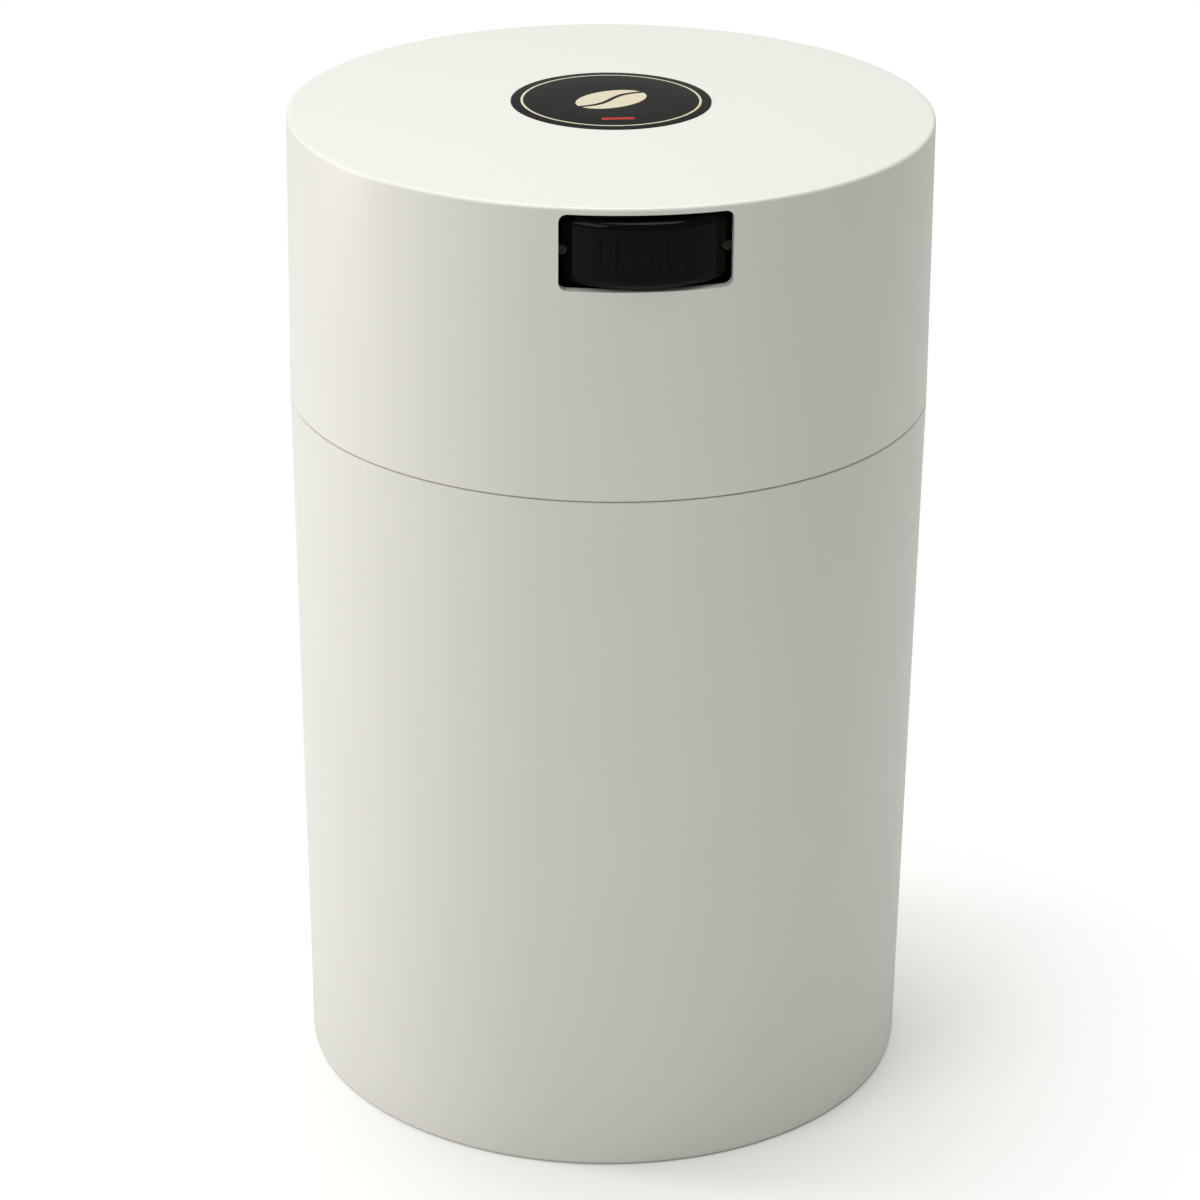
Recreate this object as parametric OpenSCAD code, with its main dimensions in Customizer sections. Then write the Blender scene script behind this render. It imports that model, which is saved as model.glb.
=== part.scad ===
// Coffee canister with a push-button valve in its cap.
// Millimetres, +Z up. The origin is the centre of the base on the table, and the button faces -Y.

/* [Canister body] */
// Outside diameter at the seam, shared by the body's shoulder and the cap's rim
seam_d = 120.6; // [110:0.2:150]
// Height of the seam above the table
body_h = 136.6; // [90:0.2:220]
// How much the body's outside radius shrinks from the seam to the base
body_taper = 1.4; // [0.4:0.1:2.4]
// Wall of the neck at its top
neck_wall = 1.7; // [1.4:0.1:2.4]
// Draft of the bore on each side, in degrees
bore_draft = 0.3; // [0.1:0.05:0.5]
// Thickness of the floor
floor_t = 2.6; // [1.8:0.1:4]
// Radius between the floor and the bore
floor_fillet = 3; // [1:0.5:6]
// Height of the foot ring
foot_h = 0.8; // [0.4:0.1:1.6]
// Width of the foot ring
foot_w = 5; // [3:0.5:10]
// Rounding of the base's outer edge
base_edge_r = 0.9; // [0.4:0.1:2]

/* [Cap] */
// Height of the cap from the seam to its top edge
cap_h = 54; // [48:0.2:75]
// How much the cap's outside radius shrinks from its rim to its top edge
cap_taper = 0.45; // [0.1:0.05:1]
// Wall of the skirt at the rim
cap_wall = 2; // [1.6:0.1:2.6]
// How much thicker the skirt is at the top than at the rim
cap_draft = 0.25; // [0:0.05:0.5]
// Thickness of the cap's top
cap_top_t = 1.8; // [1.4:0.1:2.6]
// Rise of the crowned top above its edge
crown = 1.8; // [0.6:0.1:4]
// Rounding of the cap's top edge
cap_edge_r = 0.7; // [0.4:0.1:1.5]
// Open seam between the cap's rim and the body's shoulder
seam_gap = 0.2; // [0.1:0.05:0.6]
// Chamfer on both edges of the seam
seam_chamfer = 0.25; // [0.1:0.05:0.6]
// Clearance between the neck and the skirt
neck_gap = 0.25; // [0.15:0.05:0.5]

/* [Label] */
// Diameter of the round label
label_d = 37; // [20:0.5:60]
// Thickness of the label
label_t = 0.3; // [0.2:0.05:0.6]
// Depth of the recess that it lies in
label_recess = 0.15; // [0.05:0.05:0.4]

/* [Window and button] */
// Width of the window in the skirt
win_w = 30.4; // [26:0.2:36]
// Height of the window
win_h = 13.8; // [12:0.2:17]
// Corner radius of the window
win_r = 1.5; // [0.8:0.1:3]
// Distance from the cap's top edge down to the window
win_drop = 1.2; // [0.8:0.1:3]
// Gap at each end of the button
button_gap_x = 0.9; // [0.4:0.1:1.2]
// Gap above the button
button_gap_top = 1; // [0.4:0.1:1.4]
// Gap below the button
button_gap_low = 0.6; // [0.4:0.1:1.2]
// Radius of the button's front, seen from above
button_r = 21.3; // [19:0.1:40]
// How far the button's middle stands out of the skirt
button_proud = 1.2; // [0.5:0.1:3]
// Rounding of the button's long front edges
button_edge_r = 1.5; // [0.5:0.1:2]
// Depth of the button from its front to its back edge
button_depth = 14; // [12:0.5:18]
// Wall of the button's front, top and bottom
button_wall = 1.6; // [1.2:0.1:2]
// Travel of the button
press_travel = 3.5; // [2:0.1:4]
// Number of grip ribs on the button
grip_count = 7; // [3:2:9]
// Spacing of the grip ribs
grip_pitch = 2.9; // [2:0.1:3.2]
// Height of a grip rib
grip_h = 5.6; // [3:0.1:7]
// How far a grip rib stands out
grip_proud = 0.35; // [0.2:0.05:0.5]

/* [Button frame] */
// Thickness of the frame's cheeks and back
frame_t = 1.7; // [1.4:0.1:2.4]
// Radius of the rib that guides each end of the button
guide_r = 0.85; // [0.6:0.05:1.1]
// Clearance around the guide ribs
guide_gap = 0.2; // [0.1:0.05:0.4]
// Height of a screw boss's end below the cap's top edge
boss_drop = 8.6; // [7:0.1:10]
// Core diameter of the frame's screws
screw_d = 2.2; // [1.6:0.1:2.6]

/* [Sealing plate] */
// Depth of the plate's underside below the neck's top
plate_depth = 14; // [12:0.5:24]
// Thickness of the plate
plate_t = 2.4; // [1.8:0.1:3.4]
// Gap between the plate's rim and the bore
plate_gap = 0.9; // [0.6:0.1:1.2]
// Height of the plate's rim
rim_h = 8.5; // [7.5:0.5:11]
// Height of the groove for the seal ring
groove_h = 4; // [3.4:0.1:5]
// Depth of the groove
groove_d = 3.2; // [2.4:0.1:3.6]
// Clearance of the seal ring in its groove
seal_gap = 0.15; // [0.1:0.05:0.3]
// Clearance of the seal ring's lips in the bore
lip_gap = 0.08; // [0.04:0.02:0.2]
// Number of snap fingers
snap_count = 5; // [3:1:7]
// Width of a snap finger
snap_w = 9; // [6:0.5:12]

/* [Valve] */
// Lift of the valve at full press
valve_lift = 2; // [1:0.1:2.4]
// Inside radius of the valve's seat
seat_r = 5; // [4.6:0.1:6]
// Thickness of the valve pad
pad_t = 2; // [1.5:0.1:3]
// Diameter of the valve stem
stem_d = 4; // [3.6:0.1:5]
// Diameter of the cross pin
pin_d = 2; // [1.5:0.1:2.2]
// Number of vent holes
vent_count = 6; // [4:1:8]
// Diameter of a vent hole
vent_d = 2.2; // [1.2:0.1:2.4]
// Running clearance of the stem in its guide
stem_gap = 0.06; // [0.03:0.01:0.1]

/* [Springs] */
// Wire of the button's spring
button_wire = 0.6; // [0.4:0.05:0.8]
// Turns of the button's spring
button_turns = 6; // [4:0.5:7]
// Wire of the valve's spring
valve_wire = 0.5; // [0.3:0.05:0.6]
// Turns of the valve's spring
valve_turns = 5; // [3:0.5:6]

/* [Hidden] */
$fn = 96;
eps = 0.01;
bite = 0.003;
slack = 0.5;

// Colours, as the photo shows them
white_plastic = [0.86, 0.86, 0.83];
gloss_black = [0.05, 0.05, 0.05];
frame_black = [0.08, 0.08, 0.08];
grey_silicone = [0.62, 0.64, 0.66];
natural_plastic = [0.93, 0.92, 0.88];
steel = [0.7, 0.71, 0.73];

// Heights
cap_z0 = body_h + seam_gap;
cap_z1 = body_h + cap_h;
crown_r = (pow(seam_d / 2 - cap_taper, 2) + crown * crown) / (2 * crown);
crown_zc = cap_z1 + crown - crown_r;
win_z1 = cap_z1 - win_drop;
win_z0 = win_z1 - win_h;
win_zm = (win_z0 + win_z1) / 2;
neck_under_window = 3.6;
neck_z = win_z0 - neck_under_window;
neck_chamfer = 0.5;
lead_in = 0.8;
floor_z = foot_h + floor_t;
root_fillet = 0.5;

// Radii along the drafted walls
function body_r(z) = seam_d / 2 - body_taper * (body_h - z) / body_h;
function cap_r(z) = seam_d / 2 - cap_taper * (z - body_h) / cap_h;
function cap_in_r(z) = cap_r(z) - cap_wall - cap_draft * (z - body_h) / cap_h;
function neck_r(z) = cap_in_r(z) - neck_gap;
function bore_r(z) = neck_r(neck_z) - neck_wall - (neck_z - z) * tan(bore_draft);

// The cap's top edge: its rounding touches both the drafted wall and the crown.
edge_x0 = cap_r(cap_z1 - cap_edge_r) - cap_edge_r;
edge_z = crown_zc + sqrt(pow(crown_r - cap_edge_r, 2) - edge_x0 * edge_x0);
edge_x = cap_r(edge_z) - cap_edge_r;
edge_a = asin(edge_x / (crown_r - cap_edge_r));

// Sealing plate
plate_z = neck_z - plate_depth;
plate_top = plate_z + plate_t;
plate_r = bore_r(plate_z) - plate_gap;
rim_web = 2;
rim_in_r = plate_r - groove_d - rim_web;
groove_z0 = plate_z + 2;
groove_z1 = groove_z0 + groove_h;
rim_top = plate_z + rim_h;
trough_w = 3.4;
collar_t = 1.8;
upstand_t = 1.8;
snap_gap = 0.2;
collar_r1 = rim_in_r - trough_w;
collar_r0 = collar_r1 - collar_t;
upstand_r1 = collar_r0 - snap_gap;
upstand_r0 = upstand_r1 - upstand_t;
upstand_top = win_zm + 0.6;
upstand_lap = 7;
collar_z = upstand_top - upstand_lap;
collar_play = 0.05;
snap_z = upstand_top - 3.4;
snap_h = 2;
snap_slit = 1.2;
front_gap = 66;
underside_step = 0.6;

// Valve train, from the seat upwards
seat_h = 0.8;
seat_w = 1.2;
seat_top = plate_top + seat_h;
pad_r = seat_r + seat_w + 1;
foot_t = 1.4;
foot_r = pad_r - 1.6;
foot_top = seat_top + pad_t + foot_t;
nub_r = 1.2;
nub_lift = 0.2;
nub_gap = 0.02;
vent_pitch_r = (nub_r + seat_r) / 2 + 0.15;
prong_t = 2;
fork_gap = 0.4;
fork_z0 = foot_top + valve_lift + fork_gap;
fork_z1 = fork_z0 + prong_t;
pin_gap = 0.1;
pin_z = fork_z1 + pin_d / 2 + pin_gap;
pin_over = 0.2;
ramp_slope = valve_lift / press_travel;
ramp_a = atan(ramp_slope);
ramp_h = valve_lift + 0.4;
ramp_run = ramp_h / ramp_slope;
ramp_z = fork_z1 + ramp_h;
// Where the ramp starts, so that the pin keeps pin_gap from both the ramp and the flat
ramp_y = (pin_d / 2 + pin_gap) * (1 - 1 / cos(ramp_a)) / ramp_slope;
stem_body_d = stem_d + 0.8;
collar_gap = 0.9;
stem_collar_z = ramp_z + collar_gap;
stem_collar_t = 1.2;
stem_collar_r = 4.4;
guide_z = win_zm + 1.5;
guide_boss_r = 4.4;
guide_depth = 3.4;
stem_tip = 0.5;
stem_top = guide_z + guide_depth;
guide_blind = stem_top + valve_lift + 1;

// Button, frame and fork along Y
button_z0 = win_z0 + button_gap_low;
button_z1 = win_z1 - button_gap_top;
button_zm = (button_z0 + button_z1) / 2;
button_x = win_w / 2 - button_gap_x;
front_y = -(cap_r(win_zm) + button_proud);
button_yc = front_y + button_r;
button_back = front_y + button_depth;
button_end_wall = 2.2;
notch_r = guide_r + guide_gap;
back_gap = 0.6;
back_y = button_back + press_travel + back_gap;
frame_back = back_y + frame_t;
frame_in_x = win_w / 2;
frame_x = frame_in_x + frame_t;
frame_skirt_gap = 0.1;
frame_floor_t = 1.4;
frame_floor_gap = 0.9;
frame_floor_z = win_z0 - frame_floor_gap;
frame_z0 = frame_floor_z - frame_floor_t;
frame_top_gap = 1.9;
frame_top = win_z1 - frame_top_gap;
// The stop lug reaches through the gap beside the button into the cheek's slot.
lug_w = 2;
lug_h = 2.4;
lug_z = button_zm + 1.9;
lug_reach = 1.2;
lug_x = frame_in_x + lug_reach;
lug_gap = 0.15;
stop_gap = 0.05;
stop_over = 0.3;
arm_x = 4;
arm_t = 2;
arm_wall = 1.6;
arm_gap = 0.5;
arm_root = 6;
fork_x = 5.2;
fork_root = 6;
fork_slot_gap = 0.35;
fork_slot_x = stem_body_d / 2 + fork_slot_gap;
fork_tip = 5;
fork_slot_y = -press_travel - 0.3;
slope_y = frame_back + 1;
slope_run = button_z0 - fork_z0;
spring_r = 3.3;
seat_boss_r = 4.6;
seat_boss_h = 2;
spring_post_r = 2.2;
spring_post_len = 3.5;
spring_y0 = front_y + button_wall + seat_boss_h;
spring_seat = 0.04;

// Screws
screw_x = frame_x + 4;
screw_y = back_y - 3.2;
boss_z = cap_z1 - boss_drop;
boss_r = 2.8;
ear_t = 1.8;
ear_r = 3.3;
ear_hole_gap = 0.2;
joint_gap = 0.02;
screw_hole = 4.4;
screw_reach = 3.8;
screw_head_r = 2.3;
screw_rim_h = 0.9;
screw_crown_h = 0.6;
screw_gap = 0.05;

// A piece on the +X side and its mirror image on the other side.
module both_sides() {
    children();
    mirror([1, 0, 0])
        children();
}

// The waste outside a rounded corner, for cutting a corner round or for filling an inside corner.
// x and y are the circle's centre, and sx and sy point from there towards the corner.
// The circle is moved a hair that way, so that it crosses a drafted wall at one clear point.
module corner_waste(x, y, r, sx, sy) {
    side = r + slack;
    translate([x + sx * bite, y + sy * bite])
        difference() {
            translate([sx > 0 ? 0 : -side, sy > 0 ? 0 : -side])
                square(side);
            circle(r);
        }
}

// A rectangle about the origin with round corners.
module round_rect(w, h, r) {
    square([w - 2 * r, h], center = true);
    square([w, h - 2 * r], center = true);
    for (x = [-1, 1], y = [-1, 1])
        translate([x * (w / 2 - r), y * (h / 2 - r)])
            circle(r);
}

// A sector of a revolved profile, centred on the angle mid.
module sector(mid, width) {
    rotate([0, 0, mid - width / 2])
        rotate_extrude(angle = width)
            children();
}

// A side view drawn in Y and Z, extruded w wide about x = 0.
module side_plate(w) {
    rotate([90, 0, 90])
        translate([0, 0, -w / 2])
            linear_extrude(w)
                children();
}

// Body: drafted wall, shoulder, recessed neck, bore and floor, on a foot ring.
module body_profile() {
    foot_r1 = body_r(0);
    foot_r0 = foot_r1 - foot_w;
    neck_r0 = neck_r(body_h);
    difference() {
        polygon([
            [0, foot_h],
            [foot_r0 - foot_h, foot_h],
            [foot_r0, 0],
            [foot_r1, 0],
            [body_r(body_h - seam_chamfer), body_h - seam_chamfer],
            [body_r(body_h) - seam_chamfer, body_h],
            [neck_r0, body_h],
            [neck_r(neck_z - neck_chamfer), neck_z - neck_chamfer],
            [neck_r(neck_z) - neck_chamfer, neck_z],
            [bore_r(neck_z) + neck_chamfer, neck_z],
            [bore_r(neck_z - lead_in), neck_z - lead_in],
            [bore_r(floor_z), floor_z],
            [0, floor_z]
        ]);
        corner_waste(body_r(base_edge_r) - base_edge_r, base_edge_r, base_edge_r, 1, -1);
    }
    fillet_z = floor_z + floor_fillet;
    corner_waste(bore_r(fillet_z) - floor_fillet, fillet_z, floor_fillet, 1, -1);
    root_z = body_h + root_fillet;
    corner_waste(neck_r(root_z) + root_fillet, root_z, root_fillet, -1, -1);
}

module body() {
    color(white_plastic)
        rotate_extrude()
            body_profile();
}

// Cap: crowned top, drafted skirt, window, screw bosses, stem guide and snap collar.
module crown_disc(drop) {
    translate([0, crown_zc])
        circle(crown_r - drop, $fn = 720);
}

module edge_waste() {
    far = 3 * cap_edge_r;
    translate([edge_x + bite, edge_z + bite])
        difference() {
            polygon([[0, 0], [far, 0], [far, far], [far * tan(edge_a), far]]);
            circle(cap_edge_r);
        }
}

module lid_profile() {
    z_high = cap_z1 + crown + 1;
    difference() {
        intersection() {
            polygon([
                [0, cap_z0],
                [cap_r(cap_z0) - seam_chamfer, cap_z0],
                [cap_r(cap_z0 + seam_chamfer), cap_z0 + seam_chamfer],
                [cap_r(z_high), z_high],
                [0, z_high]
            ]);
            crown_disc(0);
        }
        intersection() {
            polygon([
                [0, cap_z0 - 1],
                [cap_in_r(cap_z0) + root_fillet, cap_z0 - 1],
                [cap_in_r(cap_z0) + root_fillet, cap_z0],
                [cap_in_r(cap_z0 + root_fillet), cap_z0 + root_fillet],
                [cap_in_r(z_high), z_high],
                [0, z_high]
            ]);
            crown_disc(cap_top_t);
        }
        edge_waste();
        difference() {
            translate([0, cap_z1 - cap_top_t / 2])
                square([label_d / 2 + 0.1, z_high - cap_z1 + cap_top_t]);
            crown_disc(label_recess);
        }
    }
}

// Fills the space under the cap's top down to the height z, between two radii.
module under_top(r0, r1, z) {
    intersection() {
        translate([r0, z])
            square([r1 - r0, cap_z1 + crown - z]);
        crown_disc(cap_top_t / 2);
    }
}

module snap_windows() {
    for (i = [0 : snap_count - 1])
        sector(snap_angle(i), snap_width_deg(collar_r0) + 2)
            translate([collar_r0 - slack, snap_z - 0.1])
                square([collar_t + 2 * slack, snap_h + 0.3]);
}

function snap_angle(i) = 90 + (i - (snap_count - 1) / 2) * (360 - front_gap) / snap_count;
function snap_width_deg(r) = snap_w / r * 180 / PI;

module lid_shell() {
    color(white_plastic) {
        difference() {
            union() {
                rotate_extrude()
                    lid_profile();
                difference() {
                    sector(90, 360 - front_gap)
                        under_top(collar_r0, collar_r1, collar_z);
                    snap_windows();
                }
                rotate_extrude()
                    under_top(0, guide_boss_r, guide_z);
                both_sides()
                    intersection() {
                        translate([screw_x, screw_y, boss_z])
                            cylinder(r = boss_r, h = boss_drop + crown);
                        rotate_extrude()
                            crown_half(cap_top_t / 2);
                    }
                stiffening_ribs();
            }
            window_cut();
            translate([0, 0, guide_z - 1])
                cylinder(d = stem_d + 2 * stem_gap, h = guide_blind - guide_z + 1);
            both_sides()
                translate([screw_x, screw_y, boss_z - 1])
                    cylinder(d = screw_d + 2 * screw_gap, h = screw_hole + 1);
        }
    }
}

// Half of the crown's disc, from the axis outwards, between the window's foot and the top.
module crown_half(drop) {
    intersection() {
        translate([0, win_z0])
            square([seam_d / 2, cap_h]);
        crown_disc(drop);
    }
}

module window_cut() {
    inside = cap_in_r(win_zm) - 5;
    translate([0, -inside, win_zm])
        rotate([90, 0, 0])
            linear_extrude(cap_r(win_z0) + slack - inside)
                round_rect(win_w, win_h, win_r);
}

module stiffening_ribs() {
    rib_t = 1.4;
    rib_drop = 3.6;
    for (a = [30 : 60 : 330])
        if (a != 270)
            rotate([0, 0, a])
                intersection() {
                    translate([guide_boss_r - slack, -rib_t / 2, cap_z1 - rib_drop])
                        cube([collar_r0 - guide_boss_r + 2 * slack, rib_t, rib_drop + crown]);
                    rotate_extrude()
                        crown_half(cap_top_t / 2);
                }
}

// Label: a thin round sheet that follows the crown.
module lid_label() {
    color(gloss_black)
        rotate_extrude()
            intersection() {
                translate([0, cap_z1])
                    square([label_d / 2, crown + label_t + 1]);
                difference() {
                    crown_disc(label_recess - label_t);
                    crown_disc(label_recess);
                }
            }
}

// Sealing plate: a dished disc with a grooved rim, the valve's seat and a snap-fitted upstand.
module plate_profile() {
    rim_chamfer = 0.8;
    upstand_chamfer = 0.4;
    seat_bevel = 0.3;
    dish_r = rim_in_r - 1;
    polygon([
        [0, plate_z + underside_step],
        [dish_r, plate_z + underside_step],
        [dish_r + underside_step, plate_z],
        [plate_r - rim_chamfer, plate_z],
        [plate_r, plate_z + rim_chamfer],
        [plate_r, groove_z0],
        [plate_r - groove_d, groove_z0],
        [plate_r - groove_d, groove_z1],
        [plate_r, groove_z1],
        [plate_r, rim_top - rim_chamfer],
        [plate_r - rim_chamfer, rim_top],
        [rim_in_r, rim_top],
        [rim_in_r, plate_top],
        [collar_r1, plate_top],
        [collar_r1, collar_z - collar_play],
        [upstand_r1, collar_z - collar_play],
        [upstand_r1, upstand_top - upstand_chamfer],
        [upstand_r1 - upstand_chamfer, upstand_top],
        [upstand_r0, upstand_top],
        [upstand_r0, plate_top],
        [seat_r + seat_w, plate_top],
        [seat_r + seat_w - seat_bevel, seat_top],
        [seat_r + seat_bevel, seat_top],
        [seat_r, plate_top],
        [0, plate_top]
    ]);
}

// Barb of a snap finger: flat below, sloped above, with its tip in the collar's window.
module snap_barb() {
    barb_r = collar_r0 + 0.6 * collar_t;
    barb_land = 0.6;
    polygon([
        [upstand_r1 - slack, snap_z],
        [barb_r, snap_z],
        [barb_r, snap_z + barb_land],
        [upstand_r1 - slack, snap_z + snap_h]
    ]);
}

module inner_plate() {
    slit_deg = snap_slit / upstand_r1 * 180 / PI;
    barb_deg = snap_width_deg(upstand_r1) - slit_deg / 2;
    color(natural_plastic)
        difference() {
            union() {
                rotate_extrude()
                    plate_profile();
                for (i = [0 : snap_count - 1])
                    sector(snap_angle(i), barb_deg)
                        snap_barb();
            }
            // The upstand is open at the front for the button and its arm.
            sector(270, front_gap)
                translate([upstand_r0 - slack, rim_top])
                    square([collar_r1 - upstand_r0 + 2 * slack, upstand_top]);
            // Two slits free each snap finger.
            for (i = [0 : snap_count - 1], side = [-1, 1])
                sector(snap_angle(i) + side * (snap_width_deg(upstand_r1) + slit_deg) / 2, slit_deg)
                    translate([upstand_r0 - slack, collar_z + 0.4])
                        square([upstand_t + 2 * slack, upstand_top]);
            for (i = [0 : vent_count - 1])
                rotate([0, 0, (i + 0.5) * 360 / vent_count])
                    translate([vent_pitch_r, 0, plate_z - 1])
                        cylinder(d = vent_d, h = plate_t + 2);
            translate([0, 0, plate_z - 1])
                cylinder(r = nub_r + stem_gap, h = plate_t + 2);
        }
}

// Seal ring: a soft ring with two wiper lips that touch the bore.
module seal_ring() {
    back_r = plate_r - groove_d + seal_gap;
    face_r = plate_r - 0.2;
    lip_r = bore_r(plate_z) - lip_gap;
    z0 = groove_z0 + seal_gap;
    z1 = groove_z1 - seal_gap;
    lip_step = (z1 - z0) / 2;
    lip_rise = 0.45 * lip_step;
    lip_edge = 0.3;
    color(grey_silicone)
        rotate_extrude()
            polygon([
                [back_r, z0],
                [face_r, z0],
                [lip_r, z0 + lip_rise],
                [lip_r, z0 + lip_rise + lip_edge],
                [face_r, z0 + lip_step],
                [lip_r, z0 + lip_step + lip_rise],
                [lip_r, z0 + lip_step + lip_rise + lip_edge],
                [face_r, z1],
                [back_r, z1]
            ]);
}

// Push button: a pillow-edged tray that opens to the back, with its spring seat, stops and ramp arm.
module pillow(r, z0, z1, edge) {
    translate([0, button_yc, 0])
        rotate_extrude()
            difference() {
                translate([0, z0])
                    square([r, z1 - z0]);
                corner_waste(r - edge, z0 + edge, edge, 1, -1);
                corner_waste(r - edge, z1 - edge, edge, 1, 1);
            }
}

module block(x0, x1, y0, y1, z0, z1) {
    translate([x0, y0, z0])
        cube([x1 - x0, y1 - y0, z1 - z0]);
}

module along_y(r, y0, y1, z) {
    translate([0, y0, z])
        rotate([-90, 0, 0])
            cylinder(r = r, h = y1 - y0);
}

module button_tray() {
    intersection() {
        pillow(button_r, button_z0, button_z1, button_edge_r);
        block(-button_x, button_x, front_y - 1, button_back, button_z0 - 1, button_z1 + 1);
    }
}

module button_hollow() {
    wall_x = button_x - button_end_wall;
    intersection() {
        translate([0, button_yc, button_z0 + button_wall])
            cylinder(r = button_r - button_wall, h = button_z1 - button_z0 - 2 * button_wall);
        block(-wall_x, wall_x, front_y, button_back + 1, button_z0, button_z1);
    }
}

module grip_ribs() {
    rib_r = 0.55;
    half = (grip_count - 1) / 2;
    for (i = [-half : half])
        translate([0, button_yc, button_zm])
            rotate([0, 0, i * grip_pitch / button_r * 180 / PI])
                translate([0, -(button_r + grip_proud - rib_r), 0]) {
                    cylinder(r = rib_r, h = grip_h - 2 * rib_r, center = true, $fn = 24);
                    for (s = [-1, 1])
                        translate([0, 0, s * (grip_h / 2 - rib_r)])
                            sphere(rib_r, $fn = 24);
                }
}

// Arm from the button to the fork: level behind the button, stepped down to the valve, then ramped.
module fork_arm() {
    arm_z0 = button_z0 + 0.2;
    arm_z1 = button_z0 + arm_t;
    slope_end = slope_y + slope_run;
    slope_top = slope_end + 1;
    ramp_head = ramp_y - ramp_run;
    fork_y0 = ramp_head - fork_root;
    cut_z0 = fork_z0 - 1;
    difference() {
        union() {
            side_plate(2 * arm_x)
                polygon([
                    [button_back - arm_root, arm_z0],
                    [slope_y, arm_z0],
                    [slope_end, fork_z0],
                    [fork_y0 + slack, fork_z0],
                    [fork_y0 + slack, ramp_z],
                    [slope_top, ramp_z],
                    [slope_top - (arm_z1 - ramp_z), arm_z1],
                    [button_back - arm_root, arm_z1]
                ]);
            side_plate(2 * fork_x)
                polygon([
                    [fork_y0, fork_z0],
                    [fork_tip, fork_z0],
                    [fork_tip, fork_z1],
                    [ramp_y, fork_z1],
                    [ramp_head, ramp_z],
                    [fork_y0, ramp_z]
                ]);
        }
        // The slot between the prongs lets the stem pass at full press.
        translate([0, fork_slot_y, cut_z0])
            cylinder(r = fork_slot_x, h = ramp_z - cut_z0 + 1);
        block(-fork_slot_x, fork_slot_x, fork_slot_y, fork_tip + 1, cut_z0, ramp_z + 1);
        // The thick stretch is cored out from below into a channel.
        block(
            arm_wall - arm_x, arm_x - arm_wall, slope_top, fork_slot_y - fork_slot_x - arm_wall,
            cut_z0, ramp_z - arm_wall
        );
    }
}

module press_button() {
    color(gloss_black)
        difference() {
            union() {
                difference() {
                    button_tray();
                    button_hollow();
                }
                grip_ribs();
                along_y(seat_boss_r, front_y + button_wall - slack, spring_y0, button_zm);
                along_y(spring_post_r, spring_y0 - slack, spring_y0 + spring_post_len, button_zm);
                both_sides()
                    block(
                        button_x - 1, lug_x, button_back - lug_w, button_back, lug_z, lug_z + lug_h
                    );
                fork_arm();
            }
            // Half-round notches in the ends run on the frame's guide ribs.
            both_sides()
                translate([button_x, 0, 0])
                    along_y(notch_r, front_y, button_back + 1, button_zm);
        }
}

// Button frame: cheeks with guide ribs, floor and back, screwed to the cap's bosses by two ears.
module cheek() {
    difference() {
        union() {
            block(frame_in_x, frame_x, front_y, frame_back, frame_z0, frame_top);
            translate([button_x, 0, 0])
                along_y(guide_r, front_y, back_y + eps, button_zm);
            block(
                button_x, frame_in_x + eps, front_y, back_y + eps,
                button_zm - guide_r, button_zm + guide_r
            );
        }
        // Slot for the stop lug: its front end is the button's outward stop.
        block(
            frame_in_x - 1, frame_x + 1,
            button_back - lug_w - stop_gap, button_back + press_travel + stop_over,
            lug_z - lug_gap, lug_z + lug_h + lug_gap
        );
    }
}

module screw_ear() {
    translate([screw_x, screw_y, boss_z - ear_t])
        cylinder(r = ear_r, h = ear_t - joint_gap);
    block(
        frame_x - 1, screw_x, screw_y - ear_r, screw_y + ear_r,
        boss_z - ear_t, boss_z - joint_gap
    );
}

module button_frame() {
    floor_slot_x = fork_x + 0.6;
    back_slot_x = arm_x + arm_gap;
    color(frame_black)
        intersection() {
            difference() {
                union() {
                    both_sides() {
                        cheek();
                        screw_ear();
                    }
                    block(-frame_x, frame_x, front_y, frame_back, frame_z0, frame_floor_z);
                    block(-frame_x, frame_x, back_y, frame_back, frame_z0, frame_top);
                    along_y(spring_post_r, back_y - spring_post_len, back_y + slack, button_zm);
                }
                // The floor and the back are open for the arm.
                block(
                    -floor_slot_x, floor_slot_x, button_back - arm_root, frame_back + 1,
                    frame_z0 - 1, frame_floor_z + eps
                );
                block(
                    -back_slot_x, back_slot_x, back_y - 1, frame_back + 1,
                    frame_floor_z - eps, button_z0 + arm_t + arm_gap
                );
                both_sides()
                    translate([screw_x, screw_y, boss_z - ear_t - 1])
                        cylinder(d = screw_d + 2 * ear_hole_gap, h = ear_t + 2);
            }
            // The front follows the inside of the skirt.
            translate([0, 0, frame_z0 - 1])
                cylinder(r = cap_in_r(win_z1) - frame_skirt_gap, h = frame_top - frame_z0 + 2);
        }
}

// Screws: a shank in the boss, and below the ear a head with a bevelled end.
module frame_screws() {
    head_z = boss_z - ear_t - joint_gap;
    color(steel)
        both_sides()
            translate([screw_x, screw_y, 0]) {
                translate([0, 0, head_z - slack])
                    cylinder(d = screw_d, h = boss_z + screw_reach - head_z + slack);
                translate([0, 0, head_z - screw_rim_h])
                    cylinder(r = screw_head_r, h = screw_rim_h);
                translate([0, 0, head_z - screw_rim_h - screw_crown_h])
                    cylinder(r1 = 0.7 * screw_head_r, r2 = screw_head_r, h = screw_crown_h);
            }
}

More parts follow.
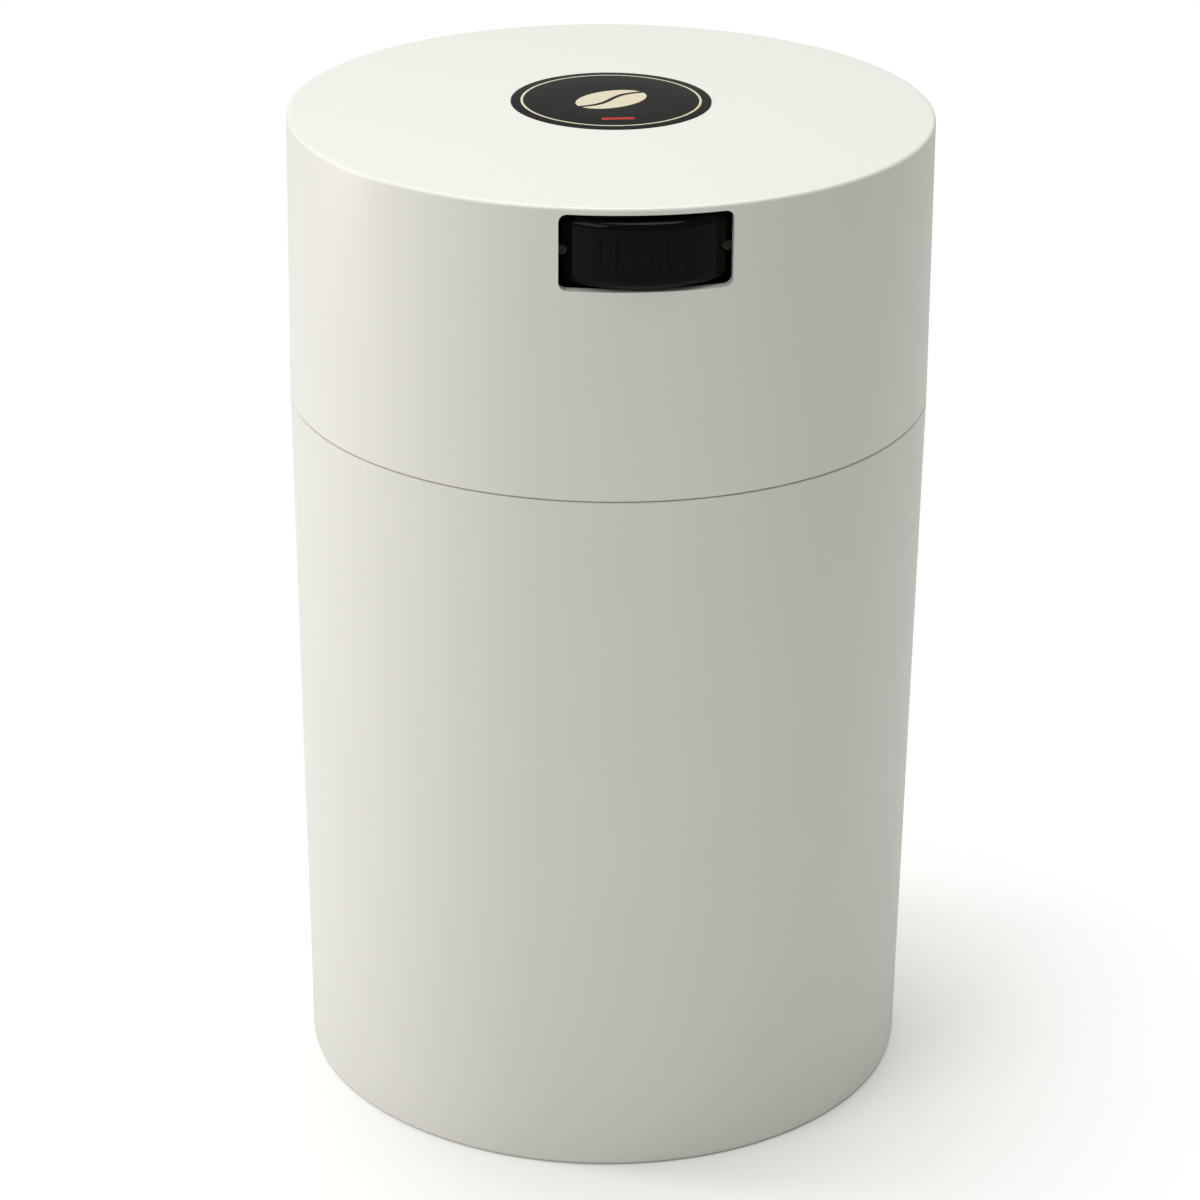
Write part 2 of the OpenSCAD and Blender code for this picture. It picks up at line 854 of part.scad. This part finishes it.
// Valve stem: nub, foot, pinned middle, spring collar and guided top.
module valve_stem() {
    nub_z = plate_z + underside_step + nub_lift;
    foot_z = foot_top - foot_t;
    color(natural_plastic)
        difference() {
            union() {
                translate([0, 0, nub_z])
                    cylinder(r = nub_r, h = foot_top - nub_z);
                translate([0, 0, foot_z])
                    cylinder(r = foot_r, h = foot_t);
                translate([0, 0, foot_z])
                    cylinder(d = stem_body_d, h = stem_collar_z - foot_z + slack);
                translate([0, 0, stem_collar_z])
                    cylinder(r = stem_collar_r, h = stem_collar_t);
                translate([0, 0, stem_collar_z])
                    cylinder(d = stem_d, h = stem_top - stem_collar_z - stem_tip);
                translate([0, 0, stem_top - stem_tip])
                    cylinder(d1 = stem_d, d2 = stem_d - 2 * stem_tip, h = stem_tip);
            }
            translate([-stem_body_d, 0, pin_z])
                rotate([0, 90, 0])
                    cylinder(d = pin_d + 2 * eps, h = 2 * stem_body_d);
        }
}

module cross_pin() {
    pin_half = fork_x + pin_over;
    color(steel)
        translate([-pin_half, 0, pin_z])
            rotate([0, 90, 0])
                cylinder(d = pin_d, h = 2 * pin_half);
}

module valve_pad() {
    color(grey_silicone)
        translate([0, 0, seat_top + eps])
            difference() {
                cylinder(r = pad_r, h = pad_t - 2 * eps);
                translate([0, 0, -1])
                    cylinder(r = nub_r + nub_gap, h = pad_t + 2);
            }
}

// Compression spring wound as one round wire, h high on the outside, about +Z from the origin.
coil_rings = 8;
coil_sides = 6;
end_share = 0.12;

// Height along the spring at the share u of its turns: the end turns are wound closer.
function coil_rise(u, end_pitch, turns, run) =
    let (full = (run - 2 * end_share * turns * end_pitch) / (1 - 2 * end_share))
    u < end_share ? u * turns * end_pitch
    : u > 1 - end_share ? run - (1 - u) * turns * end_pitch
    : end_share * turns * end_pitch + (u - end_share) * full;

function coil_points(r, wire, turns, h, end_pitch) = [
    for (i = [0 : turns * coil_rings])
        let (
            u = i / (turns * coil_rings),
            a = 360 * i / coil_rings
        )
        [r * cos(a), r * sin(a), wire / 2 + coil_rise(u, end_pitch, turns, h - wire)]
];

module coil(r, wire, turns, h, end_pitch) {
    path = coil_points(r, wire, turns, h, end_pitch);
    last = len(path) - 1;
    points = [
        for (i = [0 : last], k = [0 : coil_sides - 1])
            let (
                a = 360 * i / coil_rings,
                b = 360 * k / coil_sides,
                p = path[i]
            )
            [
                p[0] + wire / 2 * cos(b) * cos(a),
                p[1] + wire / 2 * cos(b) * sin(a),
                p[2] + wire / 2 * sin(b)
            ]
    ];
    faces = concat(
        [[for (k = [0 : coil_sides - 1]) k]],
        [
            for (i = [0 : last - 1], k = [0 : coil_sides - 1])
                let (
                    n = (k + 1) % coil_sides,
                    p = i * coil_sides,
                    q = p + coil_sides
                )
                each [[p + k, q + k, p + n], [p + n, q + k, q + n]]
        ],
        [[for (k = [coil_sides - 1 : -1 : 0]) last * coil_sides + k]]
    );
    polyhedron(points = points, faces = faces, convexity = 10);
}

// Least gap between neighbouring turns of a coil, measured on its points.
function coil_gap(path, wire) =
    min([
        for (i = [0 : len(path) - 1 - coil_rings])
            norm(path[i + coil_rings] - path[i]) - wire
    ]);

button_spring_h = back_y - spring_y0 - 2 * spring_seat;
button_end_pitch = button_wire + 0.5;
module button_spring() {
    color(steel)
        translate([0, spring_y0 + spring_seat, button_zm])
            rotate([-90, 0, 0])
                coil(spring_r, button_wire, button_turns, button_spring_h, button_end_pitch);
}

valve_spring_z = stem_collar_z + stem_collar_t + spring_seat;
valve_spring_h = guide_z - spring_seat - valve_spring_z;
valve_end_pitch = valve_wire + 0.5;
module valve_spring() {
    color(steel)
        translate([0, 0, valve_spring_z])
            coil(spring_r, valve_wire, valve_turns, valve_spring_h, valve_end_pitch);
}

button_path = coil_points(spring_r, button_wire, button_turns, button_spring_h, button_end_pitch);
valve_path = coil_points(spring_r, valve_wire, valve_turns, valve_spring_h, valve_end_pitch);
echo("least gap of the button spring, mm", coil_gap(button_path, button_wire));
echo("least gap of the valve spring, mm", coil_gap(valve_path, valve_wire));

body();
seal_ring();
lid_shell();
lid_label();
inner_plate();
button_frame();
frame_screws();
press_button();
button_spring();
valve_stem();
cross_pin();
valve_pad();
valve_spring();
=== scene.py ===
import bpy
import bmesh
import math
from mathutils import Matrix, Vector


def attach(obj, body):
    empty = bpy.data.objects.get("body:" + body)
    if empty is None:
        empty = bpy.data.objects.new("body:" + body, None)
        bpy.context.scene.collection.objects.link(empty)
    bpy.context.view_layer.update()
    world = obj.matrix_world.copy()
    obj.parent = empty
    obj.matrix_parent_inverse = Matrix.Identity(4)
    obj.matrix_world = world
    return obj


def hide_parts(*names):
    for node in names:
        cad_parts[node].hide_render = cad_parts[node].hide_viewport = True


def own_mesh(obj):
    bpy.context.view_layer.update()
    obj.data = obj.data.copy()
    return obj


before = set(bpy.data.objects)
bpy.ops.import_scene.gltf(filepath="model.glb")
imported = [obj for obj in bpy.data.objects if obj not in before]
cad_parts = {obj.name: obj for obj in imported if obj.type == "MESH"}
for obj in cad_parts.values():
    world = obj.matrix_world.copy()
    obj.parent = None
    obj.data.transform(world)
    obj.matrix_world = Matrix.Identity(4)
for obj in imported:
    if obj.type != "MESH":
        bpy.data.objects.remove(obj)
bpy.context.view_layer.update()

# Canister body: a cup injection moulded in white plastic, with a slight draft. Above the shoulder
# its neck is set back for the cap, and it stands on a narrow foot ring. Semi-gloss moulded plastic
# shows one wide, soft highlight down the wall. Sizes are in millimetres.
foot_h = 0.8
foot_in_r = 53.9
foot_r = 58.009
foot_round = 0.9
body_h = 136.6
seam_r = 60.297
seam_flat_r = 60.05
seam_edge = 0.25
neck_r = 58.05
neck_root = 0.5
neck_top = 172
neck_rim_r = 57.6
neck_edge = 0.5
bore_rim_r = 56.39
bore_r = 55.886
bore_lead = 0.8
bore_foot_r = 55.02
bore_round = 3
floor_top = 3.4


def arc(cx, cz, r, a0, a1, count=8):
    """Points of an arc in a turned outline, with its angles in degrees."""
    turn = [math.radians(a0 + (a1 - a0) * i / count) for i in range(count + 1)]
    return [(cx + r * math.cos(a), cz + r * math.sin(a)) for a in turn]


def made(name, bm):
    """The finished bmesh as a new piece at the origin."""
    mesh = bpy.data.meshes.new(name)
    bm.to_mesh(mesh)
    bm.free()
    obj = bpy.data.objects.new(name, mesh)
    bpy.context.scene.collection.objects.link(obj)
    return obj


def turned(name, outline, steps=256):
    """An outline of (radius, height) from axis to axis, turned once about Z, with crisp corners."""
    crisp = math.radians(28)
    bm = bmesh.new()
    verts = [bm.verts.new((r / 1000, 0, z / 1000)) for r, z in outline]
    edges = [bm.edges.new(pair) for pair in zip(verts, verts[1:])]
    bmesh.ops.spin(
        bm, geom=verts + edges, cent=(0, 0, 0), axis=(0, 0, 1), angle=2 * math.pi,
        steps=steps, use_merge=True
    )
    bmesh.ops.remove_doubles(bm, verts=bm.verts, dist=1e-7)
    bmesh.ops.recalc_face_normals(bm, faces=bm.faces)
    for face in bm.faces:
        face.smooth = True
    for edge in bm.edges:
        if len(edge.link_faces) == 2 and edge.calc_face_angle(0) > crisp:
            edge.smooth = False
    return made(name, bm)


def linear(code):
    """A #rrggbb colour as linear values."""
    parts = [int(code[i:i + 2], 16) / 255 for i in (1, 3, 5)]
    return [c / 12.92 if c <= 0.04045 else ((c + 0.055) / 1.055) ** 2.4 for c in parts] + [1]


def add(tree, kind, inputs=None, **settings):
    """Adds a node, sets its settings, and sets or links its inputs."""
    node = tree.nodes.new(kind)
    for key, value in settings.items():
        setattr(node, key, value)
    for key, value in (inputs or {}).items():
        if isinstance(value, bpy.types.NodeSocket):
            tree.links.new(value, node.inputs[key])
        else:
            node.inputs[key].default_value = value
    return node


def moulded(name, colours, rough, spread, grain_mm, bump, specular=0.5):
    """A moulded finish: two close colours and an uneven gloss in slow clouds, over a fine grain."""
    clouds_per_metre = 35.0
    grain_depth = 0.00004
    mat = bpy.data.materials.new(name)
    mat.use_nodes = True
    tree = mat.node_tree
    shader = tree.nodes["Principled BSDF"]
    place = add(tree, "ShaderNodeTexCoord").outputs["Object"]
    cloud = add(tree, "ShaderNodeTexNoise", {
        "Vector": place, "Scale": clouds_per_metre, "Detail": 3.0
    }).outputs["Fac"]
    grain = add(tree, "ShaderNodeTexNoise", {
        "Vector": place, "Scale": 1000 / grain_mm, "Detail": 2.0
    }).outputs["Fac"]
    tint = add(tree, "ShaderNodeMix", {
        0: cloud, 6: linear(colours[0]), 7: linear(colours[1])
    }, data_type="RGBA")
    gloss = add(tree, "ShaderNodeMapRange", {
        "Value": cloud, "To Min": rough - spread, "To Max": rough + spread
    })
    relief = add(tree, "ShaderNodeBump", {"Height": grain, "Strength": bump, "Distance": grain_depth})
    tree.links.new(tint.outputs[2], shader.inputs["Base Color"])
    tree.links.new(gloss.outputs["Result"], shader.inputs["Roughness"])
    tree.links.new(relief.outputs["Normal"], shader.inputs["Normal"])
    shader.inputs["Specular IOR Level"].default_value = specular
    return mat


body = turned("canister_body", [
    (0, foot_h), (foot_in_r - foot_h, foot_h), (foot_in_r, 0),
    *arc(foot_r, foot_round, foot_round, -90, 0),
    (seam_r, body_h - seam_edge), (seam_flat_r, body_h),
    *arc(neck_r + neck_root, body_h + neck_root, neck_root, 270, 180, 5),
    (neck_rim_r, neck_top - neck_edge), (neck_rim_r - neck_edge, neck_top),
    (bore_rim_r, neck_top), (bore_r, neck_top - bore_lead),
    *arc(bore_foot_r - bore_round, floor_top + bore_round, bore_round, 0, -90, 10),
    (0, floor_top),
])
body.data.materials.append(moulded(
    "white_plastic_body", ("#e9e8e4", "#e6e5e0"), rough=0.34, spread=0.03, grain_mm=0.5, bump=0.12
))
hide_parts("body")
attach(body, "canister")


# Seal ring: a soft ring with thin lips, moulded in grey silicone and stretched into the sealing
# plate's groove, which wipes the bore of the neck. Silicone is matt, with a dull, broad sheen.
def dress(name, finish):
    """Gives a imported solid, which is kept as it is, its finish."""
    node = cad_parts[name]
    node.data.materials.clear()
    node.data.materials.append(finish)


grey_silicone = moulded(
    "grey_silicone", ("#a9adb0", "#9fa3a6"), rough=0.55, spread=0.04, grain_mm=0.3, bump=0.2
)
dress("seal_ring", grey_silicone)

# Cap: a deep shell moulded in the same white plastic, with a crowned top and the push button's
# window cut through its skirt. Inside, an open collar takes the sealing plate's snap fingers,
# and two bosses take the screws of the button frame.
crown_r = 995.9
crown_centre = -803.5
recess_r = 18.6
recess = 0.15
top_wall = 1.8
top_edge = 0.7
top_edge_r = 59.156
top_edge_z = 189.94
skirt_out = ((59.95, 178), (60.022, 170), (60.105, 160), (60.188, 150))
skirt_foot = 136.8
skirt_foot_in_r = 58.797
skirt_lead = 0.5
skirt_lead_r = 58.3
skirt_in_r = 57.62
skirt_in_top = 188.9
guide_r = 4.4
guide_hole_r = 2.06
guide_low = 184
guide_hole_top = 190.4
window_w = 30.4
window_h = 13.8
window_z = 182.5
window_corner = 1.5
window_cut_y = -58.5
window_cut = 12
collar_in_r = 44.52
collar_r = 46.32
collar_low = 176.1
collar_top = 189.9
collar_gap = 66
boss_r = 2.8
boss_l = 8
boss_x = 20.9
boss_y = -46.22
boss_z = 186


def crown(r, drop=0.0):
    """Height at the radius r of a surface that lies by drop under the crowned top."""
    return crown_centre + math.sqrt((crown_r - drop) ** 2 - r * r)


cap = turned("cap_shell", [
    *[(r, crown(r, recess)) for r in (0, 10, recess_r)],
    *[(r, crown(r)) for r in (recess_r, 24, 32, 40, 48, 54, 58)],
    *arc(top_edge_r, top_edge_z, top_edge, 86.6, 0),
    *skirt_out,
    (seam_r, skirt_foot + seam_edge), (seam_flat_r, skirt_foot),
    (skirt_foot_in_r, skirt_foot), (skirt_lead_r, skirt_foot + skirt_lead),
    (skirt_in_r, skirt_in_top),
    *[(r, crown(r, top_wall)) for r in (50, 44, 34, 22, 10, guide_r)],
    (guide_r, guide_low), (guide_hole_r, guide_low),
    (guide_hole_r, guide_hole_top), (0, guide_hole_top),
])

bm = bmesh.new()
bmesh.ops.create_cube(bm, size=0.001)
bmesh.ops.scale(bm, vec=(window_w, window_cut, window_h), verts=bm.verts)
bmesh.ops.translate(bm, vec=(0, window_cut_y / 1000, window_z / 1000), verts=bm.verts)
across = [edge for edge in bm.edges if abs(edge.verts[0].co.y - edge.verts[1].co.y) > 0.001]
bmesh.ops.bevel(
    bm, geom=across, offset=window_corner / 1000, offset_type="OFFSET", affect="EDGES",
    segments=6, profile=0.5, material=-1
)
cutter = made("window_cutter", bm)
window = cap.modifiers.new("window", "BOOLEAN")
window.operation = "DIFFERENCE"
window.solver = "EXACT"
window.object = cutter
bpy.context.view_layer.update()
graph = bpy.context.evaluated_depsgraph_get()
cap.data = bpy.data.meshes.new_from_object(cap.evaluated_get(graph))
cap.modifiers.clear()
bpy.data.objects.remove(cutter, do_unlink=True)

# The collar is open at the front for the button's arm.
bm = bmesh.new()
bm.from_mesh(cap.data)
shell = set(bm.faces)
start = math.radians(collar_gap / 2 - 90)
corners = (
    (collar_in_r, collar_low), (collar_r, collar_low), (collar_r, collar_top), (collar_in_r, collar_top)
)
section = bm.faces.new([
    bm.verts.new((r / 1000 * math.cos(start), r / 1000 * math.sin(start), z / 1000))
    for r, z in corners
])
bmesh.ops.spin(
    bm, geom=[section], cent=(0, 0, 0), axis=(0, 0, 1), angle=math.radians(360 - collar_gap),
    steps=120
)
for side in (-1, 1):
    bmesh.ops.create_cone(
        bm, cap_ends=True, segments=40, radius1=boss_r / 1000, radius2=boss_r / 1000,
        depth=boss_l / 1000,
        matrix=Matrix.Translation((side * boss_x / 1000, boss_y / 1000, boss_z / 1000))
    )
bmesh.ops.recalc_face_normals(bm, faces=[face for face in bm.faces if face not in shell])
bm.to_mesh(cap.data)
bm.free()
cap.data.materials.clear()
cap.data.materials.append(moulded(
    "white_plastic_cap", ("#eae9e5", "#e7e6e1"), rough=0.33, spread=0.03, grain_mm=0.5, bump=0.12
))
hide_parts("lid_shell")
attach(cap, "cap")

# Label: a thin round sticker of black vinyl in a shallow recess of the cap's top. It is printed
# with a cream ring, a coffee bean with its crease, and a short red bar. Printed vinyl is satin.
label_r = 18.5
label_edge = 0.1
label_rise = 0.15
label_edge_rise = 0.12
ring_r = 16.5
ring_half_w = 0.22
bean_turn = 34.8
bean_half_l = 7.51
bean_half_w = 5.007
crease_swing = 0.9
crease_half_w = 0.5
bar_y = -12.2
bar_half_w = 3
bar_half_h = 0.6
ink_grains_per_metre = 900.0
ink_cream = linear("#d9cfb8")
ink_red = linear("#b3342a")

label = turned("cap_label", [
    *[(r, crown(r, recess)) for r in (0, 9, label_r)],
    (label_r, crown(label_r, -label_edge_rise)),
    *[(r, crown(r, -label_rise)) for r in (label_r - label_edge, 9, 0)],
])
vinyl = bpy.data.materials.new("printed_vinyl")
vinyl.use_nodes = True
tree = vinyl.node_tree
place = add(tree, "ShaderNodeTexCoord").outputs["Object"]
flat = add(tree, "ShaderNodeSeparateXYZ", {"Vector": place})
from_axis = add(tree, "ShaderNodeVectorMath", {0: place, 1: (1, 1, 0)}, operation="MULTIPLY")
radius = add(tree, "ShaderNodeVectorMath", {0: from_axis.outputs["Vector"]}, operation="LENGTH")
ring = add(tree, "ShaderNodeMath", {
    0: radius.outputs["Value"], 1: ring_r / 1000, 2: ring_half_w / 1000
}, operation="COMPARE").outputs[0]
bar_w = add(tree, "ShaderNodeMath", {
    0: flat.outputs["X"], 1: 0.0, 2: bar_half_w / 1000
}, operation="COMPARE").outputs[0]
bar_h = add(tree, "ShaderNodeMath", {
    0: flat.outputs["Y"], 1: bar_y / 1000, 2: bar_half_h / 1000
}, operation="COMPARE").outputs[0]
bar = add(tree, "ShaderNodeMath", {0: bar_w, 1: bar_h}, operation="MULTIPLY").outputs[0]
leaning = add(tree, "ShaderNodeMapping", {
    "Vector": place, "Rotation": (0, 0, math.radians(bean_turn))
}, vector_type="TEXTURE").outputs["Vector"]
oval = add(tree, "ShaderNodeVectorMath", {
    0: leaning, 1: (1000 / bean_half_l, 1000 / bean_half_w, 0)
}, operation="MULTIPLY")
reach = add(tree, "ShaderNodeVectorMath", {0: oval.outputs["Vector"]}, operation="LENGTH")
bean = add(tree, "ShaderNodeMath", {0: reach.outputs["Value"], 1: 1.0}, operation="LESS_THAN").outputs[0]
lean = add(tree, "ShaderNodeSeparateXYZ", {"Vector": leaning})
phase = add(tree, "ShaderNodeMath", {
    0: lean.outputs["X"], 1: math.pi * 1000 / bean_half_l
}, operation="MULTIPLY").outputs[0]
wave = add(tree, "ShaderNodeMath", {0: phase}, operation="SINE").outputs[0]
swing = add(tree, "ShaderNodeMath", {0: wave, 1: crease_swing / 1000}, operation="MULTIPLY").outputs[0]
crease = add(tree, "ShaderNodeMath", {
    0: lean.outputs["Y"], 1: swing, 2: crease_half_w / 1000
}, operation="COMPARE").outputs[0]
mottle = add(tree, "ShaderNodeTexNoise", {"Scale": ink_grains_per_metre}).outputs["Fac"]
ink_black = add(tree, "ShaderNodeMix", {
    0: mottle, 6: linear("#0c0c0c"), 7: linear("#100f0f")
}, data_type="RGBA").outputs[2]
printed = ink_black
for mask, ink in ((bean, ink_cream), (crease, ink_black), (ring, ink_cream), (bar, ink_red)):
    printed = add(tree, "ShaderNodeMix", {0: mask, 6: printed, 7: ink}, data_type="RGBA").outputs[2]
shader = tree.nodes["Principled BSDF"]
tree.links.new(printed, shader.inputs["Base Color"])
shader.inputs["Roughness"].default_value = 0.38
shader.inputs["Specular IOR Level"].default_value = 0.15
label.data.materials.append(vinyl)
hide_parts("lid_label")
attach(label, "cap")

# Sealing plate: a stiff disc moulded in uncoloured plastic, with the ring's groove at its edge and
# the valve's seat in its middle. Its barbed fingers snap onto the cap's collar. It looks satin.
natural_plastic = moulded(
    "natural_plastic", ("#e2e0d8", "#dcdad1"), rough=0.4, spread=0.04, grain_mm=0.4, bump=0.2
)
dress("inner_plate", natural_plastic)

# Button frame: moulded in black plastic with a finely etched, matt face, which lets the gloss
# button stand out. It guides the button, and is screwed to the cap's two bosses.
dress("button_frame", moulded(
    "matt_black_plastic", ("#191919", "#141414"), rough=0.5, spread=0.04, grain_mm=0.3, bump=0.3
))

# Frame screws and cross pin: cut from drawn steel, which reflects in a soft, slightly uneven way.
# The screws hold the button frame, and the pin goes through the valve's stem.
drawn_steel = moulded(
    "drawn_steel", ("#b9bcc0", "#aeb1b5"), rough=0.3, spread=0.05, grain_mm=0.2, bump=0.3
)
drawn_steel.node_tree.nodes["Principled BSDF"].inputs["Metallic"].default_value = 1.0
dress("frame_screws", drawn_steel)
dress("cross_pin", drawn_steel)

# Push button: moulded in black plastic in a polished mould, so that it shines. It slides in the
# frame, and its arm carries the two ramps that lift the cross pin.
dress("press_button", moulded(
    "gloss_black_plastic", ("#040404", "#030303"), rough=0.1, spread=0.02, grain_mm=0.6, bump=0.05,
    specular=0.12
))

# Button spring: wound from drawn steel wire 0.6 mm thick, between the button's post and the
# frame's. It shortens as the button goes in.
button_wire = 0.6
button_coil_l = 14.42
button_coil_y = -57.4775
button_coil_z = 182.3


def coil(name, wire, turns, length):
    """A spring of round wire that stands on the origin along Z, with closer turns at both ends."""
    coil_r = 3.3
    close_gap = 0.5
    turn_steps = 24
    steps = turns * turn_steps
    climb = length - wire
    close_turn = wire + close_gap
    close_share = 0.12
    close_climb = close_share * turns * close_turn

    def climbed(step):
        """How far the wire has climbed at one step of its winding."""
        share = step / steps
        if share < close_share:
            return share * turns * close_turn
        if share > 1 - close_share:
            return climb - (1 - share) * turns * close_turn
        open_share = (share - close_share) / (1 - 2 * close_share)
        return close_climb + open_share * (climb - 2 * close_climb)

    upright = Matrix.Rotation(math.pi / 2, 4, "X") @ Matrix.Rotation(-math.pi / 2, 4, "Z")
    bm = bmesh.new()
    bmesh.ops.create_circle(
        bm, cap_ends=True, segments=10, radius=wire / 2000,
        matrix=Matrix.Translation((coil_r / 1000, 0, wire / 2000)) @ upright
    )
    end = [*bm.verts, *bm.edges, *bm.faces]
    for step in range(steps):
        rise = climbed(step + 1) - climbed(step)
        end = bmesh.ops.spin(
            bm, geom=end, cent=(0, 0, 0), axis=(0, 0, 1), dvec=(0, 0, rise / 1000),
            angle=2 * math.pi / turn_steps, steps=1
        )["geom_last"]
    bmesh.ops.recalc_face_normals(bm, faces=bm.faces)
    for face in bm.faces:
        face.smooth = len(face.verts) == 4
    return made(name, bm)


button_coil = coil("button_coil", button_wire, 6, button_coil_l)
button_coil.data.transform(
    Matrix.Translation((0, button_coil_y / 1000, button_coil_z / 1000))
    @ Matrix.Rotation(-math.pi / 2, 4, "X")
)
button_coil.data.materials.append(drawn_steel)
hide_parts("button_spring")
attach(button_coil, "cap")
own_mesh(button_coil)

# Valve stem and pad: the stem is moulded in uncoloured plastic and carries the spring on its
# collar. The pad under its foot, moulded in grey silicone, closes the plate's seat.
dress("valve_stem", natural_plastic)
dress("valve_pad", grey_silicone)

# Valve spring: wound from drawn steel wire 0.5 mm thick, between the stem's collar and the cap's
# guide. It closes the valve, and shortens as the valve lifts.
valve_wire = 0.5
valve_coil_l = 10.42
valve_coil_z = 173.54
valve_coil = coil("valve_coil", valve_wire, 5, valve_coil_l)
valve_coil.data.transform(Matrix.Translation((0, 0, valve_coil_z / 1000)))
valve_coil.data.materials.append(drawn_steel)
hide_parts("valve_spring")
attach(valve_coil, "cap")
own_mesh(valve_coil)

# Floor: a plain white sweep, painted matt. The camera sees it brighter than it lights the
# canister, and sees it plain white away from the base, past the soft shadow.
floor_half_w = 3
shadow_from = 0.062
shadow_to = 0.14
paint_lights = (0.75, 0.75, 0.75, 1)
paint_seen = (1.06, 1.06, 1.06, 1)
bm = bmesh.new()
bmesh.ops.create_grid(bm, x_segments=1, y_segments=1, size=floor_half_w)
floor = made("floor", bm)
paint = bpy.data.materials.new("white_floor")
paint.use_nodes = True
tree = paint.node_tree
tree.nodes.clear()
seen = add(tree, "ShaderNodeLightPath").outputs["Is Camera Ray"]
dim = add(tree, "ShaderNodeBsdfDiffuse", {"Color": paint_lights})
near = add(tree, "ShaderNodeBsdfDiffuse", {"Color": paint_seen})
away = add(tree, "ShaderNodeVectorMath", {
    0: add(tree, "ShaderNodeTexCoord").outputs["Object"]
}, operation="LENGTH").outputs["Value"]
fade = add(tree, "ShaderNodeMapRange", {
    "Value": away, "From Min": shadow_from, "From Max": shadow_to
}, interpolation_type="SMOOTHSTEP").outputs["Result"]
far = add(tree, "ShaderNodeEmission", {"Color": (1, 1, 1, 1), "Strength": 1.0})
clear = add(tree, "ShaderNodeMixShader", {0: fade, 1: near.outputs[0], 2: far.outputs[0]})
both = add(tree, "ShaderNodeMixShader", {0: seen, 1: dim.outputs[0], 2: clear.outputs[0]})
add(tree, "ShaderNodeOutputMaterial", {"Surface": both.outputs[0]})
floor.data.materials.append(paint)

# Light: a pale surround that the camera sees as white, a large soft light at the upper left,
# a tall strip at the far left for the bright band, a faint one behind the right side, and an
# overhead light for the top.
surround_tint = (0.95, 1.0, 0.89, 1)
surround_strength = 0.345
world = bpy.data.worlds.new("studio")
bpy.context.scene.world = world
world.use_nodes = True
tree = world.node_tree
tree.nodes.clear()
seen = add(tree, "ShaderNodeLightPath").outputs["Is Camera Ray"]
soft = add(tree, "ShaderNodeBackground", {"Color": surround_tint, "Strength": surround_strength})
plain = add(tree, "ShaderNodeBackground", {"Color": (1, 1, 1, 1), "Strength": 1.0})
both = add(tree, "ShaderNodeMixShader", {0: seen, 1: soft.outputs[0], 2: plain.outputs[0]})
add(tree, "ShaderNodeOutputWorld", {"Surface": both.outputs[0]})


def area_light(name, place, aim, size, power, colour):
    """A soft rectangular light at place, facing aim, in metres and watts."""
    data = bpy.data.lights.new(name, "AREA")
    data.shape = "RECTANGLE"
    data.size, data.size_y = size
    data.energy = power
    data.color = colour
    obj = bpy.data.objects.new(name, data)
    bpy.context.scene.collection.objects.link(obj)
    obj.location = place
    obj.rotation_euler = (Vector(aim) - Vector(place)).to_track_quat("-Z", "Y").to_euler()
    return obj


middle = (0, 0, 0.1)
top = (0, 0, 0.19)
lights = [
    area_light("key", (-0.9, -0.7, 0.9), middle, size=(0.7, 0.7), power=3.9, colour=(1, 0.92, 0.93)),
    area_light("strip", (-0.9, 0.25, 0.25), middle, size=(0.25, 0.9), power=4.2, colour=(1, 0.98, 0.97)),
    area_light("rim", (0.9, 0.5, 0.25), middle, size=(0.15, 0.8), power=0.4, colour=(0.95, 1, 0.92)),
    area_light("top", (0, 0.15, 1.1), top, size=(0.9, 0.9), power=8.0, colour=(1, 1, 1)),
]

# Camera: placed so that the outlines fall where the photo has them, with a long lens and a slight
# roll. Distances are in metres.
azimuth = math.radians(-6.1)
elevation = math.radians(23.61)
roll = math.radians(0.466)
distance = 0.7536
aim_z = 0.0917
aside = 0.0013
lens_mm = 116
film_mm = 36
back = Vector((
    math.sin(azimuth) * math.cos(elevation),
    -math.cos(azimuth) * math.cos(elevation),
    math.sin(elevation)
))
right = Vector((math.cos(azimuth), math.sin(azimuth), 0))
up = back.cross(right)
place = Vector((0, 0, aim_z)) - aside * right + distance * back
right_rolled = right * math.cos(roll) + up * math.sin(roll)
up_rolled = up * math.cos(roll) - right * math.sin(roll)
lens = bpy.data.cameras.new("camera")
lens.lens = lens_mm
lens.sensor_width = film_mm
camera = bpy.data.objects.new("camera", lens)
bpy.context.scene.collection.objects.link(camera)
camera.matrix_world = Matrix((
    (right_rolled.x, up_rolled.x, back.x, place.x),
    (right_rolled.y, up_rolled.y, back.y, place.y),
    (right_rolled.z, up_rolled.z, back.z, place.z),
    (0, 0, 0, 1),
))
bpy.context.scene.camera = camera
bpy.context.scene.view_settings.view_transform = "Standard"
